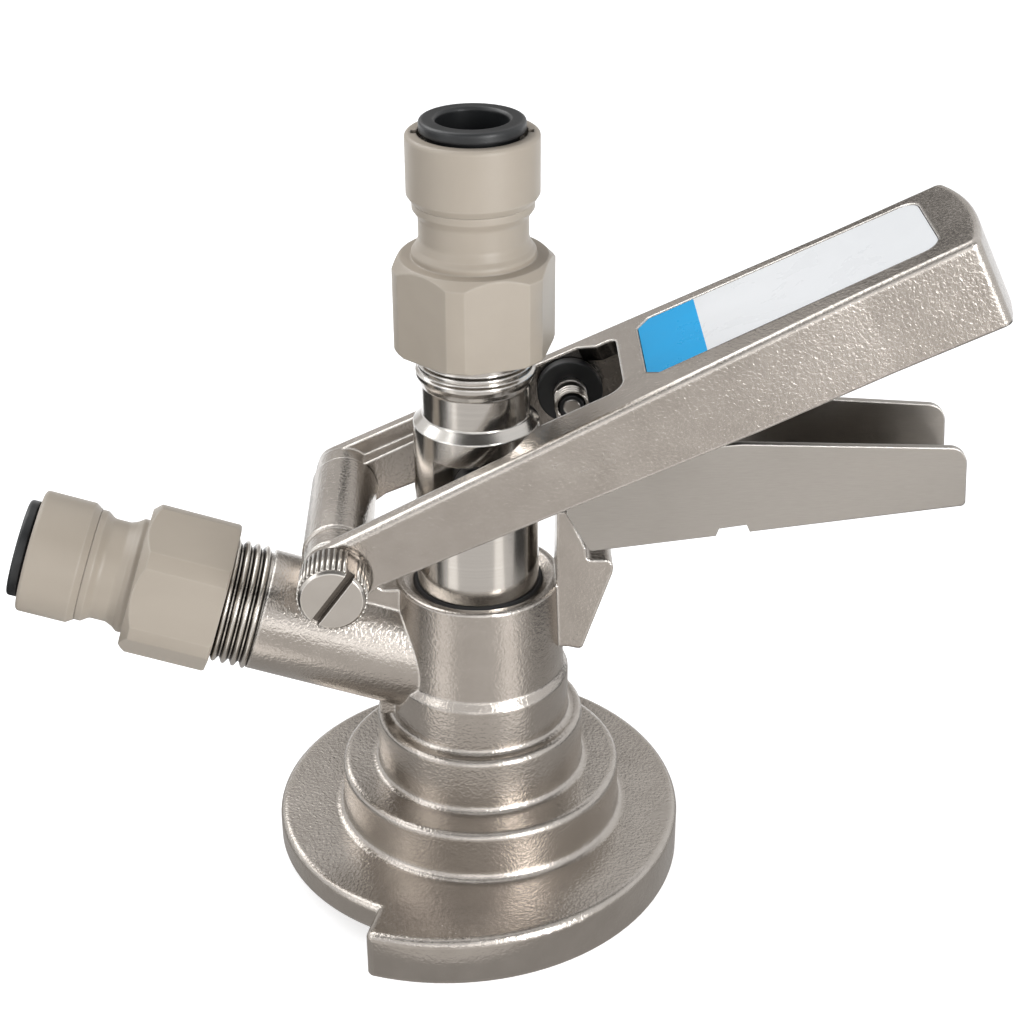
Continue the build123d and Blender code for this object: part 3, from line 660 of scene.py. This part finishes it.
# %% Knurl ribs
rib_count = 38
rib_depth, rib_length, rib_width = 0.5 * MM, 6.7 * MM, 0.52 * MM
rib_round = 0.16 * MM
rib_circle = 5.7 * MM
head_middle = Vector((0, -24.35, 0)) * MM  # from the hinge
slot_turn = math.radians(54)
slot_half = 0.16  # radians kept free of ribs on each side of the slot
maker = bmesh.new()
for number in range(rib_count):
    turn = 2 * math.pi * number / rib_count
    # the slot has two ends, half a turn apart, and the nearer one counts
    from_slot = abs((turn - slot_turn + math.pi / 2) % math.pi - math.pi / 2)
    if from_slot < slot_half:
        continue
    out_way = Vector((math.cos(turn), 0, math.sin(turn)))
    across = Vector((-math.sin(turn), 0, math.cos(turn)))
    turned = Matrix((out_way, Vector((0, 1, 0)), across)).transposed().to_4x4()
    place = Matrix.Translation(hinge + out_way * rib_circle + head_middle) @ turned
    size = Matrix.Diagonal((rib_depth, rib_length, rib_width, 1))
    bmesh.ops.create_cube(maker, size=1.0, matrix=place @ size)
long_edges = [edge for edge in maker.edges if edge.calc_length() > 5 * MM]
bmesh.ops.bevel(
    maker, geom=long_edges, offset=rib_round, offset_type="OFFSET", segments=2, profile=0.5,
    affect="EDGES", material=-1,
)
add_piece("screw_knurl", maker, screw_steel, "handle")

# %% [markdown]
# ### Spring of the trigger
# A torsion spring sits on the sleeves round the pivot and pushes the trigger away from the
# handle. A curve with a round bevel could be the wire, but the winding helper is there already: a
# small circle is all the outline it needs.

# %% Trigger spring
pivot = Vector((17.0, 0, 88.9)) * MM
coil_radius, wire_radius, coil_pitch = 2.72 * MM, 0.42 * MM, 0.9 * MM
coil_start = 6.0 * MM
coil_turns = 3.6
wire_outline = [
    (coil_radius + wire_radius * math.cos(math.radians(angle)),
     wire_radius * math.sin(math.radians(angle)))
    for angle in range(0, 360, 36)
]
for name, way in (("trigger_spring_near", -1), ("trigger_spring_far", 1)):
    maker = bmesh.new()
    wind(
        maker, wire_outline, pivot + Vector((0, way * coil_start, 0)), Vector((0, way, 0)),
        Vector((1, 0, 0)), coil_pitch, coil_turns, 32,
    )
    add_piece(name, maker, screw_steel, "handle")

# %% [markdown]
# ## Floor and light
# The object stands on a pale floor under soft lamps: one from the left, a stronger one low on the
# right that models the hexagons, one high behind for the label, and a weak one in front. The
# floor and the room behind it are white only to the rays that come from the camera, straight or
# by way of a mirror. A room that was white to every ray would flood the object with light from
# all sides and flatten it; a dimmer, cooler room fills the shadows instead.


# %% Which rays see the white studio
def show_to_camera(tree, plain, shown, ending):
    """Ends a tree: rays seen straight, mirrored or through glass get shown, the rest plain."""
    rays = tree.nodes.new("ShaderNodeLightPath")
    seen = rays.outputs["Is Camera Ray"]
    for kind in ("Is Glossy Ray", "Is Transmission Ray"):
        seen = calculate(tree, "MAXIMUM", seen, rays.outputs[kind])
    choose = add_node(
        tree, "ShaderNodeMixShader", [("Fac", seen), (1, plain.outputs[0]), (2, shown.outputs[0])]
    )
    add_node(tree, ending, [("Surface", choose.outputs[0])])


print("white to camera, mirror and clear rays")


# %% Pale floor
floor_mesh = bpy.data.meshes.new("floor")
floor_maker = bmesh.new()
bmesh.ops.create_grid(floor_maker, x_segments=1, y_segments=1, size=3.0)
floor_maker.to_mesh(floor_mesh)
floor_maker.free()
floor = bpy.data.objects.new("floor", floor_mesh)
bpy.context.scene.collection.objects.link(floor)
paper = bpy.data.materials.new("paper")
paper.use_nodes = True
tree = paper.node_tree
tree.nodes.clear()
matt = add_node(tree, "ShaderNodeBsdfDiffuse", [("Color", (0.9, 0.9, 0.9, 1))])
glow = add_node(tree, "ShaderNodeEmission", [("Color", (1, 1, 1, 1)), ("Strength", 0.6)])
glowing = add_node(tree, "ShaderNodeAddShader", [(0, matt.outputs[0]), (1, glow.outputs[0])])
show_to_camera(tree, matt, glowing, "ShaderNodeOutputMaterial")
floor_mesh.materials.append(paper)
print("floor", floor.dimensions[:])

# %% World
world = bpy.data.worlds.new("studio")
bpy.context.scene.world = world
world.use_nodes = True
tree = world.node_tree
tree.nodes.clear()
backdrop = add_node(tree, "ShaderNodeBackground", [("Color", (1, 1, 1, 1)), ("Strength", 1.0)])
room = add_node(tree, "ShaderNodeBackground", [("Color", (0.93, 0.96, 1, 1)), ("Strength", 0.35)])
show_to_camera(tree, room, backdrop, "ShaderNodeOutputWorld")
print("world", world.name)


# %% Lamps
def soft_lamp(name, place, aim, width, height, power):
    """An area lamp at a place, facing a point, of a width and height in metres."""
    lamp = bpy.data.lights.new(name, "AREA")
    lamp.shape = "RECTANGLE"
    lamp.size = width
    lamp.size_y = height
    lamp.energy = power
    holder = bpy.data.objects.new(name, lamp)
    holder.location = place
    holder.rotation_euler = (Vector(aim) - Vector(place)).to_track_quat("-Z", "Y").to_euler()
    bpy.context.scene.collection.objects.link(holder)
    print("lamp", name, power, "W")


middle = (0.0, 0.0, 0.07)
soft_lamp("left", (-0.60, -0.40, 0.55), middle, 0.3, 0.7, 1.4)
soft_lamp("right_low", (0.45, -0.65, 0.24), middle, 0.2, 0.6, 4.5)
soft_lamp("top", (-0.40, 0.28, 0.65), middle, 0.6, 0.5, 3.0)
soft_lamp("front", (0.15, -0.8, 0.12), middle, 0.9, 0.2, 0.7)

# %% [markdown]
# ## Cards for the metal to mirror
# Polished metal shows nothing but its surroundings, so a studio sets cards round it. Dark ones at
# the sides draw its edges, bright strips draw the long streaks on a round bar, a dark one overhead
# puts a band along every lying tube, and grey ones below, in front and behind keep broad faces
# from going white. More lamps could do some of this, but would light the plastic and the label
# too. Only mirror rays see the cards: they are hidden from the camera, and from the light that
# falls on the object.


# %% Make a card that only mirrors see
def mirror_card(name, place, facing, width, height, grey):
    """A card of an even grey that only mirror rays see, so it neither shades nor hides anything."""
    mesh = bpy.data.meshes.new(name)
    maker = bmesh.new()
    bmesh.ops.create_grid(maker, x_segments=1, y_segments=1, size=0.5)
    bmesh.ops.scale(maker, vec=(width, height, 1), verts=maker.verts)
    maker.to_mesh(mesh)
    maker.free()
    card = bpy.data.objects.new(name, mesh)
    card.location = place
    card.rotation_euler = Vector(facing).to_track_quat("Z", "Y").to_euler()
    card.visible_camera = False
    card.visible_diffuse = False
    card.visible_shadow = False
    bpy.context.scene.collection.objects.link(card)
    shade = bpy.data.materials.new(name)
    shade.use_nodes = True
    tree = shade.node_tree
    tree.nodes.clear()
    warm_grey = (grey, grey * 0.97, grey * 0.94, 1)
    even = add_node(tree, "ShaderNodeEmission", [("Color", warm_grey), ("Strength", 1.0)])
    add_node(tree, "ShaderNodeOutputMaterial", [("Surface", even.outputs[0])])
    mesh.materials.append(shade)
    print("card", name, grey)
    return card


# %% Place the cards and strips
level = (0, 0, 1)
mirror_card("card_left", (-0.33, 0.06, 0.003), level, 0.46, 0.34, 0.06)
mirror_card("card_right", (0.34, 0.06, 0.003), level, 0.46, 0.34, 0.06)
mirror_card("card_front", (0.03, -0.596, 0.003), level, 0.42, 1.10, 0.80)
mirror_card("card_back", (-0.1, 0.60, 0.30), (0, -1, 0), 0.9, 0.34, 0.64)
mirror_card("card_back_dark", (0.0, 0.55, 0.30), (0, -1, 0), 0.09, 0.40, 0.12)
mirror_card("card_under", (0.0, 0.0, 0.0002), level, 0.24, 0.19, 0.48)
mirror_card("card_above", (-0.05, -0.30, 0.58), (0, 0.5, -0.85), 0.9, 0.20, 0.06)
strip_grey = 1.4  # brighter than white, so that its image in grey metal stays pale
for name, degrees in (("strip_left", -46), ("strip_right", 38)):
    turn = math.radians(degrees)
    away = Vector((math.sin(turn), -math.cos(turn), 0))
    strip = mirror_card(name, away * 0.21 + Vector((0, 0, 0.004)), level, 0.035, 0.30, strip_grey)
    strip.rotation_euler = (0, 0, turn)

# %% [markdown]
# ## Camera
# The camera looks down at 28 degrees from about 0.4 m away, so that the stepped base, the label on
# the handle and the knurled screw are all in sight. A wide lens nearer by could show as much, but
# would swell whatever is closest; a longer one keeps the sizes true.

# %% Camera
camera_place = Vector((-0.60, -306.62, 236.3)) * MM
looks_right, looks_down, leans = math.radians(1.27), math.radians(28.23), math.radians(-0.2)
camera = bpy.data.objects.new("camera", bpy.data.cameras.new("camera"))
bpy.context.scene.collection.objects.link(camera)
camera.data.lens = 68.55
camera.data.sensor_width = 36.0
camera.data.shift_y = -0.0022
camera.data.clip_start = 0.01
camera.data.clip_end = 20.0
camera.matrix_world = (
    Matrix.Translation(camera_place)
    @ Matrix.Rotation(-looks_right, 4, "Z")
    @ Matrix.Rotation(math.pi / 2 - looks_down, 4, "X")
    @ Matrix.Rotation(leans, 4, "Z")
)
bpy.context.scene.camera = camera
bpy.context.scene.view_settings.view_transform = "Standard"
print("camera at", [round(v, 3) for v in camera.location])
